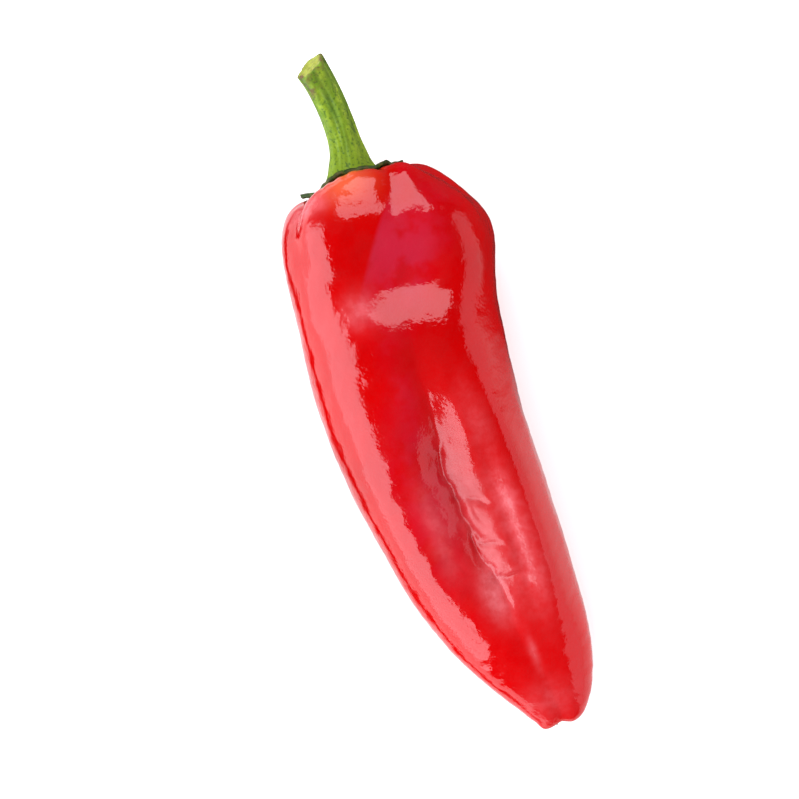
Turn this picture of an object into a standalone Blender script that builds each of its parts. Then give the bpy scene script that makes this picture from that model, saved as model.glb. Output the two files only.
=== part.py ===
"""A long sweet pepper, picked and lying on its side on a table.

It is two pieces as grown: the red fruit, and the green stalk that widens into the calyx
on the fruit's shoulder. +X runs along the fruit to its tip, +Z is up, and the origin is
the middle of the footprint on the table. Lengths in the tables are millimetres.
"""

import math

import bmesh
import bpy
import numpy as np

MM = 0.001
TABLE_Z = 0.0
FOOTPRINT_MIDDLE = (1.6, -0.3, 0.0)  # in the tables' own lengths, and the origin once built

# The skin's rings from the hollow under the calyx, over the shoulder and along to the
# pit at the tip. Each gives x, then the ring's left, right, bottom and top ends, and how
# square its left and right halves are: 2 is an ellipse, and more is a fuller section.
RINGS = (
    (-61.6, -1.2, -1.2, 24.5, 24.5, 2.2, 2.2),
    (-62.2, -7.4, 5.0, 18.6, 30.4, 2.2, 2.2),
    (-62.9, -13.4, 11.6, 12.8, 35.4, 2.2, 2.2),
    (-62.3, -18.4, 17.2, 7.6, 39.4, 2.2, 2.2),
    (-58.9, -23.2, 22.6, 3.0, 42.6, 2.2, 2.2),
    (-53.0, -26.6, 27.4, -0.2, 45.4, 2.2, 2.15),
    (-45.0, -28.2, 31.8, -1.8, 46.3, 2.2, 2.1),
    (-37.5, -29.0, 32.4, -2.1, 46.4, 2.2, 2.05),
    (-26.0, -30.6, 29.0, -2.1, 45.8, 2.25, 2.05),
    (-10.0, -32.2, 25.4, -2.0, 44.4, 2.25, 2.2),
    (6.0, -32.8, 23.3, -1.9, 42.3, 2.25, 2.4),
    (23.0, -31.8, 21.9, -1.8, 39.6, 2.2, 2.6),
    (41.0, -29.0, 21.4, -1.6, 36.4, 2.2, 2.6),
    (58.0, -25.5, 20.5, -1.2, 32.6, 2.2, 2.6),
    (73.0, -21.0, 19.8, -0.2, 28.8, 2.2, 2.5),
    (85.5, -14.2, 17.4, 1.9, 24.6, 2.2, 2.4),
    (94.5, -8.6, 14.0, 4.4, 20.8, 2.2, 2.3),
    (100.2, -5.2, 10.2, 7.2, 17.6, 2.2, 2.2),
    (102.6, -2.8, 6.0, 10.0, 15.0, 2.2, 2.2),
    (101.9, 0.6, 0.6, 12.6, 12.6, 2.2, 2.2),
)

# The furrows between the fruit's chambers. Each point gives the distance along the skin,
# the angle round the fruit, the depth and the half-breadth of the furrow.
FURROWS = {
    "front": (
        (0.0, 66.0, 0.6, 2.6),
        (13.0, 61.0, 1.3, 2.2),
        (22.0, 65.5, 2.0, 2.6),
        (36.0, 75.0, 0.6, 3.2),
        (54.0, 82.0, 0.5, 4.2),
        (70.0, 86.0, 0.8, 4.0),
        (84.0, 88.0, 2.3, 3.4),
        (98.0, 90.0, 5.2, 5.0),
        (114.0, 94.0, 6.2, 5.4),
        (128.0, 95.0, 5.0, 4.8),
        (142.0, 93.0, 3.0, 4.2),
        (154.0, 88.0, 0.9, 3.4),
        (166.0, 85.0, 0.7, 2.6),
        (184.0, 94.0, 0.7, 2.0),
        (191.0, 100.0, 1.1, 1.5),
    ),
    "left": (
        (0.0, 156.0, 0.4, 3.0),
        (14.0, 156.0, 2.0, 3.0),
        (22.0, 153.0, 1.9, 3.2),
        (32.0, 151.0, 0.9, 3.8),
        (44.0, 151.0, 0.2, 4.2),
        (54.0, 152.0, 0.0, 4.2),
    ),
    "right": (
        (0.0, 14.0, 0.4, 3.0),
        (14.0, 14.0, 2.0, 3.4),
        (26.0, 13.0, 1.9, 3.8),
        (38.0, 12.0, 1.2, 4.2),
        (56.0, 8.0, 0.4, 5.0),
        (74.0, 4.0, 0.0, 5.0),
    ),
    "under": (
        (0.0, 268.0, 0.6, 3.0),
        (14.0, 268.0, 2.2, 3.4),
        (30.0, 268.0, 2.8, 5.0),
        (70.0, 266.0, 3.0, 5.6),
        (120.0, 266.0, 2.6, 5.0),
        (150.0, 266.0, 1.4, 4.4),
        (184.0, 264.0, 0.8, 2.2),
        (192.0, 264.0, 0.9, 1.6),
    ),
}

# Swellings and dents of the upper side: middle x, y, half-length in x, half-breadth in y
# and height, which is negative for a dent.
UPPER_RELIEF = (
    (-34.0, -6.0, 6.6, 9.5, -3.0),
    (-31.5, 9.0, 7.0, 8.0, -3.0),
    (-48.0, 9.0, 7.5, 7.0, -0.5),
    (-50.0, -13.0, 10.0, 5.0, 0.9),
    (-16.5, -6.0, 5.5, 9.0, 1.2),
    (-13.5, 9.0, 6.5, 6.0, 1.1),
    (-4.0, -22.0, 18.0, 4.5, 0.8),
    (8.0, 12.0, 12.0, 4.4, 1.3),
    (32.0, 12.7, 16.0, 3.7, 2.7),
    (58.0, 11.8, 10.0, 3.4, 1.6),
    (36.0, 7.2, 11.0, 1.9, -1.1),
    (57.0, 6.8, 8.0, 1.8, -0.7),
    (46.0, -12.0, 26.0, 4.0, 0.5),
    (39.5, 1.5, 3.2, 2.6, 0.6),
    (52.0, 2.2, 3.4, 2.6, 0.6),
)

UPWARD_ENOUGH = 0.4  # the skin's upward lean from which that relief has its full height

# The fold line from beside the calyx to the left end of the hollow, x and y of its two ends:
# the skin turns down along it, on its right, to this depth at this distance.
FOLD_LINE = ((-54.4, 6.3), (-34.3, -9.0))
FOLD_LINE_DEPTH = 0.55
FOLD_LINE_WIDTH = 7.0
FOLD_LINE_REACH = 10.0

# The front furrow's right bank is a slope this many times wider than the furrow's half-breadth.
RIGHT_BANK = 2.3
RIGHT_BANK_ROUNDING = 0.12

# Lobes that stand up round the calyx: distance along the skin, angle, half-lengths along
# and round the skin, and height.
SHOULDER_LOBES = (
    (17.0, 96.0, 5.0, 7.5, 2.1),
    (18.0, 48.0, 5.0, 8.0, 1.6),
    (19.0, 205.0, 6.0, 8.0, 1.2),
    (19.0, 325.0, 6.0, 8.0, 1.4),
)

# Lumps of the crumpled skin in the front furrow, which also make its line wander.
CRUMPLE_HEIGHT = 0.30
CRUMPLE_LENGTH = 9.0
CRUMPLE_REACH = 6.5
CRUMPLE_MIDDLE = 122.0
CRUMPLE_HALF_LENGTH = 19.0
CRUMPLE_SEED = 5
FURROW_WANDER = 0.9
FURROW_WANDER_LENGTH = 17.0

# Slow and quick unevenness of the whole skin: height, length and seed.
UNEVENNESS = (
    (0.22, 30.0, 11),
    (0.06, 13.0, 12),
)

# The swellings beside the pit at the tip: distance from it, angle, half-width and height.
TIP_SWELLINGS = (
    (4.4, 30.0, 3.0, 0.8),
    (3.6, 176.0, 1.8, 0.6),
)

# The stalk's centreline, x, y, z, and its radius there.
STALK_PATH = (
    (-65.2, -0.6, 24.9, 7.8),
    (-67.8, -0.2, 25.3, 6.6),
    (-70.8, 0.3, 25.9, 5.5),
    (-75.2, 0.8, 26.7, 4.6),
    (-80.5, 1.1, 28.0, 4.3),
    (-86.5, 0.8, 29.8, 4.2),
    (-92.5, 0.1, 32.0, 4.3),
    (-97.2, -0.9, 34.2, 4.5),
)
STALK_RIBS = 5
STALK_RIB_HEIGHT = 0.32
STALK_RIB_TWIST = 1.5  # radians from the calyx to the cut
STALK_CUT_FACING = (-0.78, -0.41, 0.47)
STALK_CUT_HOLLOW = 0.5
STALK_CUT_FROM = 0.75  # the share of the stalk's length past which rows lean to the cut

CALYX_RADIUS = 13.0
CALYX_TEETH = 6
CALYX_TOOTH = 1.1
CALYX_TOOTH_TURN = 0.6
CALYX_UNEVENNESS = 0.7
CALYX_UNEVEN_TURN = 1.1
CALYX_RIM_NARROWNESS = 5  # how quickly its teeth and curls fade from the rim inwards
CALYX_CURLS = 5
CALYX_TOP_INNER = 0.5  # where its top gives way to the stalk, as a share of its radius
CALYX_THICKNESS = 1.5
CALYX_RIM_THICKNESS = 1.0
CALYX_RIM_LIFT = 1.0
CALYX_GAP = 0.5  # room between the calyx's underside and the skin

POLE_MARGIN = 0.4  # where the skin's direction is read for the single point at each end

FRUIT_RED = (0.62, 0.006, 0.008)
FRUIT_ROUGHNESS = 0.22
STALK_GREEN = (0.16, 0.30, 0.04)
STALK_ROUGHNESS = 0.55

FRUIT_COLUMNS = 66
FRUIT_ROWS = 78
UPPER_FINER = 0.3  # how much closer the fruit's columns lie on its upper side
ENDS_FINER = 0.3  # how much closer the fruit's rows lie at its two ends
STALK_COLUMNS = 30
CALYX_ROWS = 5
STALK_ROWS = 14
CUT_FACE_ROWS = 3


def smooth_curve(knots, values):
    """A natural cubic spline through the rows of values, as a function of the knot scale."""
    knots = np.asarray(knots, float)
    values = np.asarray(values, float)
    steps = np.diff(knots)
    count = len(knots)
    system = np.eye(count)
    target = np.zeros_like(values)
    for i in range(1, count - 1):
        system[i, i - 1 : i + 2] = steps[i - 1], 2 * (steps[i - 1] + steps[i]), steps[i]
        rise = (values[i + 1] - values[i]) / steps[i]
        last_rise = (values[i] - values[i - 1]) / steps[i - 1]
        target[i] = 6 * (rise - last_rise)
    bend = np.linalg.solve(system, target)

    def at(where):
        where = np.clip(where, knots[0], knots[-1])
        i = np.clip(np.searchsorted(knots, where) - 1, 0, count - 2)
        step = steps[i][..., None]
        b = (where - knots[i])[..., None] / step
        a = 1 - b
        curved = ((a**3 - a) * bend[i] + (b**3 - b) * bend[i + 1]) * step**2 / 6
        return a * values[i] + b * values[i + 1] + curved

    return at


def ring_distances():
    """The distance along the skin from the calyx's middle to each ring."""
    rings = np.array(RINGS)
    reach = (rings[:, 2] - rings[:, 1] + rings[:, 4] - rings[:, 3]) / 4
    return np.r_[0, np.cumsum(np.hypot(np.diff(rings[:, 0]), np.diff(reach)))]


RING_AT = ring_distances()
SKIN_LENGTH = RING_AT[-1]
ring_curve = smooth_curve(RING_AT, RINGS)


def angle_between(angle, middle):
    """The signed turn from middle to angle, in radians, between -pi and pi."""
    return (angle - middle + math.pi) % (2 * math.pi) - math.pi


def bell(distance, half_width):
    return np.exp(-0.5 * (distance / half_width) ** 2)


def waves(points, wavelength, seed, count=9):
    """A smooth uneven field about 1 high, from waves that cross in seeded directions."""
    draw = np.random.default_rng(seed)
    total = np.zeros(points.shape[:-1])
    for _ in range(count):
        heading = draw.normal(size=3)
        heading /= np.linalg.norm(heading)
        length = wavelength * draw.uniform(0.7, 1.4)
        total += np.sin(points @ heading * 2 * math.pi / length + draw.uniform(0, 2 * math.pi))
    return total / math.sqrt(count / 2)


def plain_skin(along, angle):
    """Points on the fruit without its furrows, and their distance from the ring's middle."""
    x, left, right, bottom, top, left_fullness, right_fullness = np.moveaxis(
        ring_curve(along), -1, 0
    )
    half_width = np.maximum((right - left) / 2, 1e-6)
    half_height = np.maximum((top - bottom) / 2, 1e-6)
    fullness = np.where(np.cos(angle) > 0, right_fullness, left_fullness)
    across = np.abs(np.cos(angle) / half_width) ** fullness
    upward = np.abs(np.sin(angle) / half_height) ** fullness
    reach = (across + upward) ** (-1 / fullness)
    y = (left + right) / 2 + reach * np.cos(angle)
    z = (bottom + top) / 2 + reach * np.sin(angle)
    return np.stack([x, y, z], axis=-1), reach


def outward(surface, along, angle, step=0.05):
    """Unit normals of a surface given as a function of along and angle."""
    lengthwise = surface(along + step, angle) - surface(along - step, angle)
    turn = step / 10
    round_it = surface(along, angle + turn) - surface(along, angle - turn)
    normal = np.cross(round_it, lengthwise)
    return normal / np.maximum(np.linalg.norm(normal, axis=-1, keepdims=True), 1e-12)


def right_bank(distance):
    """A straight slope that falls from 1 at 0 to nothing at 1, and levels out smoothly."""
    left_over = 1 - distance
    return (np.sqrt(left_over**2 + RIGHT_BANK_ROUNDING**2) + left_over) / 2


def furrow_relief(points, along, angle, reach):
    """How far the furrows sink the skin, and the distance to the side of the front one."""
    sunk = np.zeros(along.shape)
    for name, path in FURROWS.items():
        table = np.array(path)
        line, depth, breadth = np.moveaxis(smooth_curve(table[:, 0], table[:, 1:])(along), -1, 0)
        side = reach * angle_between(angle, np.radians(line))
        side = side + FURROW_WANDER * waves(points, FURROW_WANDER_LENGTH, CRUMPLE_SEED + 1)
        profile = bell(side, breadth)
        if name == "front":
            front_side = side
            bank = right_bank(-side / (RIGHT_BANK * breadth))
            profile = np.where(side < 0, np.minimum(bank, 1), profile)
        sunk -= np.maximum(depth, 0) * profile * (along <= table[-1, 0] + 1)
    return sunk, front_side


def fold_line_distances(points):
    """How far points lie to the right of the fold line, and from its middle lengthwise."""
    start, end = np.array(FOLD_LINE)
    heading = (end - start) / np.linalg.norm(end - start)
    x = points[..., 0] - (start[0] + end[0]) / 2
    y = points[..., 1] - (start[1] + end[1]) / 2
    return y * heading[0] - x * heading[1], x * heading[0] + y * heading[1]


def fold_line_relief(points):
    """The skin's turn down along the right of the fold line."""
    right, lengthwise = fold_line_distances(points)
    past = np.maximum(right, 0) / FOLD_LINE_WIDTH
    return -FOLD_LINE_DEPTH * past * np.exp(1 - past) * bell(lengthwise, FOLD_LINE_REACH)


def crumple_relief(points, along, front_side):
    near = bell(front_side, CRUMPLE_REACH) * bell(along - CRUMPLE_MIDDLE, CRUMPLE_HALF_LENGTH)
    return CRUMPLE_HEIGHT * near * waves(points, CRUMPLE_LENGTH, CRUMPLE_SEED)


def skin_relief(points, normals, along, angle, reach):
    """The height of the lobes, furrows, dents and swellings over the plain skin."""
    height, front_side = furrow_relief(points, along, angle, reach)
    height += crumple_relief(points, along, front_side)
    for rise, length, seed in UNEVENNESS:
        height += rise * waves(points, length, seed)
    for middle, turn, half_length, half_breadth, rise in SHOULDER_LOBES:
        side = reach * angle_between(angle, math.radians(turn))
        height += rise * bell(along - middle, half_length) * bell(side, half_breadth)
    facing_up = np.clip(normals[..., 2] / UPWARD_ENOUGH, 0, 1)
    for x, y, half_length, half_breadth, rise in UPPER_RELIEF:
        spread = bell(points[..., 0] - x, half_length) * bell(points[..., 1] - y, half_breadth)
        height += rise * spread * facing_up
    height += fold_line_relief(points) * facing_up
    for from_tip, turn, half_width, rise in TIP_SWELLINGS:
        side = reach * angle_between(angle, math.radians(turn))
        height += rise * bell(SKIN_LENGTH - along - from_tip, half_width) * bell(side, half_width)
    return height


def fruit_skin(along, angle):
    """The finished skin, flat where it rests on the table."""
    points, reach = plain_skin(along, angle)
    off_the_poles = np.clip(along, POLE_MARGIN, SKIN_LENGTH - POLE_MARGIN)
    normals = outward(lambda a, b: plain_skin(a, b)[0], off_the_poles, angle)
    points = points + normals * skin_relief(points, normals, along, angle, reach)[..., None]
    points[..., 2] = np.maximum(points[..., 2], TABLE_Z)
    return points


def rounded_cage(name, columns, rows, place):
    """A ball's mesh, whose rows and columns place() turns into points in millimetres."""
    cage = bmesh.new()
    bmesh.ops.create_uvsphere(cage, u_segments=columns, v_segments=rows, radius=1.0)
    ball = np.array([vertex.co for vertex in cage.verts])
    row = np.arccos(np.clip(ball[:, 2], -1, 1)) / math.pi * rows
    turn = np.arctan2(ball[:, 1], ball[:, 0])
    for vertex, point in zip(cage.verts, place(np.round(row), turn)):
        vertex.co = (point - FOOTPRINT_MIDDLE) * MM
    if cage.calc_volume(signed=True) < 0:
        bmesh.ops.reverse_faces(cage, faces=cage.faces)
    mesh = bpy.data.meshes.new(name)
    cage.to_mesh(mesh)
    cage.free()
    mesh.shade_smooth()
    piece = bpy.data.objects.new(name, mesh)
    bpy.context.scene.collection.objects.link(piece)
    return piece


def fruit_point(row, turn):
    share = row / FRUIT_ROWS
    share = share - ENDS_FINER * np.sin(2 * math.pi * share) / (2 * math.pi)
    return fruit_skin(share * SKIN_LENGTH, turn + UPPER_FINER * np.cos(turn))


def calyx_point(inward, lifted, turn):
    """A point of the calyx: inward runs from 0 at its middle to 1 at its toothed rim."""
    teeth = CALYX_TOOTH * np.cos(CALYX_TEETH * turn + CALYX_TOOTH_TURN)
    uneven = CALYX_UNEVENNESS * np.sin(2 * turn + CALYX_UNEVEN_TURN)
    along = inward * (CALYX_RADIUS + (teeth + uneven) * inward**CALYX_RIM_NARROWNESS)
    skin = fruit_skin(along, turn)
    normal = outward(fruit_skin, np.maximum(along, POLE_MARGIN), turn)
    curls = 0.5 + 0.5 * np.sin(CALYX_CURLS * turn)
    curl = CALYX_RIM_LIFT * curls * inward**CALYX_RIM_NARROWNESS
    return skin + normal * (CALYX_GAP + curl + lifted)[:, None]


def stalk_frames(share):
    """The stalk's centreline, radius and two side directions at shares of its length."""
    path = np.array(STALK_PATH)
    knots = np.r_[0, np.cumsum(np.linalg.norm(np.diff(path[:, :3], axis=0), axis=1))]
    curve = smooth_curve(knots, path)
    here = curve(share * knots[-1])
    ahead = curve(np.clip(share * knots[-1] + 0.1, 0, knots[-1]))
    behind = curve(np.clip(share * knots[-1] - 0.1, 0, knots[-1]))
    forward = ahead[:, :3] - behind[:, :3]
    forward /= np.linalg.norm(forward, axis=1, keepdims=True)
    upward = np.array([0.0, 0.0, 1.0]) - forward * forward[:, 2:]
    upward /= np.linalg.norm(upward, axis=1, keepdims=True)
    return here[:, :3], here[:, 3], forward, upward, np.cross(upward, -forward)


def stalk_point(share, turn, inset=1.0, hollow=0.0):
    """A point of the stalk's ribbed side, or of its cut face where inset is below 1."""
    middle, radius, forward, upward, sideways = stalk_frames(share)
    ribs = STALK_RIB_HEIGHT * np.cos(STALK_RIBS * turn + STALK_RIB_TWIST * share)
    reach = (radius + ribs) * inset
    around = sideways * np.cos(turn)[:, None] + upward * np.sin(turn)[:, None]
    leaning = reach * (around @ STALK_CUT_FACING) / (forward @ STALK_CUT_FACING)
    leaning *= np.clip((share - STALK_CUT_FROM) / (1 - STALK_CUT_FROM), 0, 1)
    return middle + around * reach[:, None] - forward * (leaning + hollow)[:, None]


def stalk_and_calyx_point(row, turn):
    """Rows run from the calyx's underside, round its rim and up the stalk to the cut."""
    rim = CALYX_ROWS
    top_of_calyx = 2 * CALYX_ROWS
    end_of_side = top_of_calyx + STALK_ROWS
    points = np.zeros((len(row), 3))
    under = row <= rim
    points[under] = calyx_point(row[under] / rim, np.zeros(under.sum()), turn[under])
    above = (row > rim) & (row <= top_of_calyx)
    inward = 1 - (row[above] - rim - 1) / rim * (1 - CALYX_TOP_INNER)
    from_rim = (1 - inward) / (1 - CALYX_TOP_INNER)
    thick = CALYX_RIM_THICKNESS + (CALYX_THICKNESS - CALYX_RIM_THICKNESS) * from_rim
    points[above] = calyx_point(inward, thick, turn[above])
    side = (row > top_of_calyx) & (row <= end_of_side)
    share = (row[side] - top_of_calyx - 1) / (STALK_ROWS - 1)
    points[side] = stalk_point(share, turn[side])
    face = row > end_of_side
    inset = 1 - (row[face] - end_of_side) / CUT_FACE_ROWS
    hollow = STALK_CUT_HOLLOW * (1 - inset)
    points[face] = stalk_point(np.ones(face.sum()), turn[face], inset, hollow)
    return points


def finish(piece, colour, roughness):
    material = bpy.data.materials.new(piece.name)
    material.use_nodes = True
    shader = material.node_tree.nodes["Principled BSDF"]
    shader.inputs["Base Color"].default_value = (*colour, 1.0)
    shader.inputs["Roughness"].default_value = roughness
    shader.inputs["Metallic"].default_value = 0.0
    piece.data.materials.append(material)


def main():
    for old in list(bpy.data.objects):
        bpy.data.objects.remove(old)
    fruit = rounded_cage("fruit", FRUIT_COLUMNS, FRUIT_ROWS, fruit_point)
    finish(fruit, FRUIT_RED, FRUIT_ROUGHNESS)
    stalk_rows = 2 * CALYX_ROWS + STALK_ROWS + CUT_FACE_ROWS
    stalk = rounded_cage("stalk_with_calyx", STALK_COLUMNS, stalk_rows, stalk_and_calyx_point)
    finish(stalk, STALK_GREEN, STALK_ROUGHNESS)


main()
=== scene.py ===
"""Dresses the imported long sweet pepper: glossy furrowed skin, ribbed stalk, calyx, scar and stage.

The fruit's surface is one formula of two parameters: the distance along the skin from the
middle of the calyx to the pit at the tip, and the angle round the fruit (90 degrees is up and
180 is left, looking from the stalk to the tip). Its tables are in millimetres, in the frame
that FOOTPRINT_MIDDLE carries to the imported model's frame. +X runs to the tip and +Z is up.
"""

import math

import bmesh
import bpy
import numpy as np
from bpy.props import FloatProperty, FloatVectorProperty, IntProperty, PointerProperty
from mathutils import Matrix, Vector


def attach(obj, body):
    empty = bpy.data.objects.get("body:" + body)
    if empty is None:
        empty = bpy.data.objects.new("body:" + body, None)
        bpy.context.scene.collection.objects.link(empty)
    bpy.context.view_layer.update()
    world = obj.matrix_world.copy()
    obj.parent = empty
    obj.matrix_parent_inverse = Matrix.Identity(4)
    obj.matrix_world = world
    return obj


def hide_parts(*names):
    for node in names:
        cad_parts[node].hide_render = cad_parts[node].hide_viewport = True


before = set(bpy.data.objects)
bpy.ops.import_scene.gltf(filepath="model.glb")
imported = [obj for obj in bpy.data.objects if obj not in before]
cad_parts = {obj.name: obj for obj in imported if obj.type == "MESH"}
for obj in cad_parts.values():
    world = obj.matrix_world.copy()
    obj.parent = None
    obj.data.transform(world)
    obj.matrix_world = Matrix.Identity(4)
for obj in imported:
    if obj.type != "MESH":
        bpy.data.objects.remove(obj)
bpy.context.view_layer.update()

bl_info = {
    "name": "Long Sweet Pepper",
    "version": (1, 0, 0),
    "blender": (4, 5, 0),
    "location": "View3D > Sidebar > Pepper",
    "description": "Builds a long sweet pepper and its stage",
    "category": "Add Mesh",
}

MM = 0.001
TABLE_Z = 0.0
FOOTPRINT_MIDDLE = (1.6, -0.3, 0.0)

# The skin's rings from the hollow under the calyx, over the shoulder and along to the
# pit at the tip. Each gives x, then the ring's left, right, bottom and top ends, and how
# square its left and right halves are: 2 is an ellipse, and more is a fuller section.
RINGS = (
    (-61.6, -1.2, -1.2, 24.5, 24.5, 2.2, 2.2),
    (-62.2, -7.4, 5.0, 18.6, 30.4, 2.2, 2.2),
    (-62.9, -13.4, 11.6, 12.8, 35.4, 2.2, 2.2),
    (-62.3, -18.4, 17.2, 7.6, 39.4, 2.2, 2.2),
    (-58.9, -23.2, 22.6, 3.0, 42.6, 2.2, 2.2),
    (-53.0, -26.6, 27.4, -0.2, 45.4, 2.2, 2.15),
    (-45.0, -28.2, 31.8, -1.8, 46.3, 2.2, 2.1),
    (-37.5, -29.0, 32.4, -2.1, 46.4, 2.2, 2.05),
    (-26.0, -30.6, 29.0, -2.1, 45.8, 2.25, 2.05),
    (-10.0, -32.2, 25.4, -2.0, 44.4, 2.25, 2.2),
    (6.0, -32.8, 23.3, -1.9, 42.3, 2.25, 2.4),
    (23.0, -31.8, 21.9, -1.8, 39.6, 2.2, 2.6),
    (41.0, -29.0, 21.4, -1.6, 36.4, 2.2, 2.6),
    (58.0, -25.5, 20.5, -1.2, 32.6, 2.2, 2.6),
    (73.0, -21.0, 19.8, -0.2, 28.8, 2.2, 2.5),
    (85.5, -14.2, 17.4, 1.9, 24.6, 2.2, 2.4),
    (94.5, -8.6, 14.0, 4.4, 20.8, 2.2, 2.3),
    (100.2, -5.2, 10.2, 7.2, 17.6, 2.2, 2.2),
    (102.6, -2.8, 6.0, 10.0, 15.0, 2.2, 2.2),
    (101.9, 0.6, 0.6, 12.6, 12.6, 2.2, 2.2),
)

# The furrows between the fruit's chambers. Each point gives the distance along the skin,
# the angle round the fruit, the depth and the half-breadth of the furrow.
FURROWS = {
    "front": (
        (0.0, 66.0, 0.6, 2.6),
        (13.0, 61.0, 1.3, 2.2),
        (22.0, 65.5, 2.0, 2.6),
        (36.0, 75.0, 0.6, 3.2),
        (54.0, 82.0, 0.5, 4.2),
        (70.0, 86.0, 0.8, 4.0),
        (84.0, 88.0, 2.3, 3.4),
        (98.0, 90.0, 5.2, 5.0),
        (114.0, 94.0, 6.2, 5.4),
        (128.0, 95.0, 5.0, 4.8),
        (142.0, 93.0, 3.0, 4.2),
        (154.0, 88.0, 0.9, 3.4),
        (166.0, 85.0, 0.7, 2.6),
        (184.0, 94.0, 0.7, 2.0),
        (191.0, 100.0, 1.1, 1.5),
    ),
    "left": (
        (0.0, 156.0, 0.4, 3.0),
        (14.0, 156.0, 2.0, 3.0),
        (22.0, 153.0, 1.9, 3.2),
        (32.0, 151.0, 0.9, 3.8),
        (44.0, 151.0, 0.2, 4.2),
        (54.0, 152.0, 0.0, 4.2),
    ),
    "right": (
        (0.0, 14.0, 0.4, 3.0),
        (14.0, 14.0, 2.0, 3.4),
        (26.0, 13.0, 1.9, 3.8),
        (38.0, 12.0, 1.2, 4.2),
        (56.0, 8.0, 0.4, 5.0),
        (74.0, 4.0, 0.0, 5.0),
    ),
    "under": (
        (0.0, 268.0, 0.6, 3.0),
        (14.0, 268.0, 2.2, 3.4),
        (30.0, 268.0, 2.8, 5.0),
        (70.0, 266.0, 3.0, 5.6),
        (120.0, 266.0, 2.6, 5.0),
        (150.0, 266.0, 1.4, 4.4),
        (184.0, 264.0, 0.8, 2.2),
        (192.0, 264.0, 0.9, 1.6),
    ),
}

# Swellings and dents of the upper side: middle x, y, half-length in x, half-breadth in y
# and height, which is negative for a dent.
UPPER_RELIEF = (
    (-34.0, -6.0, 6.6, 9.5, -3.0),
    (-31.5, 9.0, 7.0, 8.0, -3.0),
    (-48.0, 9.0, 7.5, 7.0, -0.5),
    (-50.0, -13.0, 10.0, 5.0, 0.9),
    (-16.5, -6.0, 5.5, 9.0, 1.2),
    (-13.5, 9.0, 6.5, 6.0, 1.1),
    (-4.0, -22.0, 18.0, 4.5, 0.8),
    (8.0, 12.0, 12.0, 4.4, 1.3),
    (32.0, 12.7, 16.0, 3.7, 2.7),
    (58.0, 11.8, 10.0, 3.4, 1.6),
    (36.0, 7.2, 11.0, 1.9, -1.1),
    (57.0, 6.8, 8.0, 1.8, -0.7),
    (46.0, -12.0, 26.0, 4.0, 0.5),
    (39.5, 1.5, 3.2, 2.6, 0.6),
    (52.0, 2.2, 3.4, 2.6, 0.6),
)

UPWARD_ENOUGH = 0.4  # the skin's upward lean from which that relief has its full height

# The fold line from beside the calyx to the left end of the hollow, x and y of its two ends:
# the skin turns down along it, on its right, to this depth at this distance.
FOLD_LINE = ((-54.4, 6.3), (-34.3, -9.0))
FOLD_LINE_DEPTH = 0.55
FOLD_LINE_WIDTH = 7.0
FOLD_LINE_REACH = 10.0

# The front furrow's right bank is a slope this many times as wide as its half-breadth.
RIGHT_BANK = 2.3
RIGHT_BANK_ROUNDING = 0.12

# Lobes that stand up round the calyx: distance along the skin, angle, half-lengths along
# and round the skin, and height.
SHOULDER_LOBES = (
    (17.0, 96.0, 5.0, 7.5, 2.1),
    (18.0, 48.0, 5.0, 8.0, 1.6),
    (19.0, 205.0, 6.0, 8.0, 1.2),
    (19.0, 325.0, 6.0, 8.0, 1.4),
)

# The lumps of the crumpled skin in the front furrow: how far to its left their middle lies,
# their half-breadth, distance along the skin, half-length and height. Its line wanders too.
CRUMPLE_MIDDLE = 122.0
CRUMPLE = (0.0, 6.5, CRUMPLE_MIDDLE, 19.0, 0.30)
CRUMPLE_LENGTH = 9.0
CRUMPLE_SEED = 5
FURROW_WANDER = 0.9
FURROW_WANDER_LENGTH = 17.0

WAVELENGTH_SPREAD = (0.7, 1.4)  # shares of a field's wavelength that its waves may have

# Slow and quick unevenness of the whole skin: height, length and seed.
UNEVENNESS = (
    (0.22, 30.0, 11),
    (0.06, 13.0, 12),
)

# The swellings beside the pit at the tip: distance from it, angle, half-width and height.
TIP_SWELLINGS = (
    (4.4, 30.0, 3.0, 0.8),
    (3.6, 176.0, 1.8, 0.6),
)

# The stalk's centreline, x, y, z, and its radius there.
STALK_PATH = (
    (-65.2, -0.6, 24.9, 7.8),
    (-67.8, -0.2, 25.3, 6.6),
    (-70.8, 0.3, 25.9, 5.5),
    (-75.2, 0.8, 26.7, 4.6),
    (-80.5, 1.1, 28.0, 4.3),
    (-86.5, 0.8, 29.8, 4.2),
    (-92.5, 0.1, 32.0, 4.3),
    (-97.2, -0.9, 34.2, 4.5),
)
STALK_RIBS = 5
STALK_RIB_HEIGHT = 0.32
STALK_RIB_TWIST = 1.5  # radians from the calyx to the cut
STALK_CUT_FACING = (-0.78, -0.41, 0.47)
STALK_CUT_FROM = 0.75  # the share of the stalk's length past which rows lean to the cut

CALYX_RADIUS = 13.0
CALYX_TEETH = 6
CALYX_TOOTH = 1.1
CALYX_TOOTH_TURN = 0.6
CALYX_UNEVENNESS = 0.7
CALYX_UNEVEN_TURN = 1.1
CALYX_RIM_NARROWNESS = 5  # how quickly its teeth and curls fade from the rim inwards
CALYX_CURLS = 5
CALYX_TOP_INNER = 0.5  # where its top gives way to the stalk, as a share of its radius
CALYX_THICKNESS = 1.5
CALYX_RIM_THICKNESS = 1.0
CALYX_RIM_LIFT = 1.0
CALYX_GAP = 0.5  # room between the calyx's underside and the skin

POLE_MARGIN = 0.4  # where the skin's direction is read for the single point at each end
ENDS_FINER = 0.3  # how much closer the fruit's rows lie at its two ends
UPPER_FINER = 0.4  # how much closer its columns lie on the upper side

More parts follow.
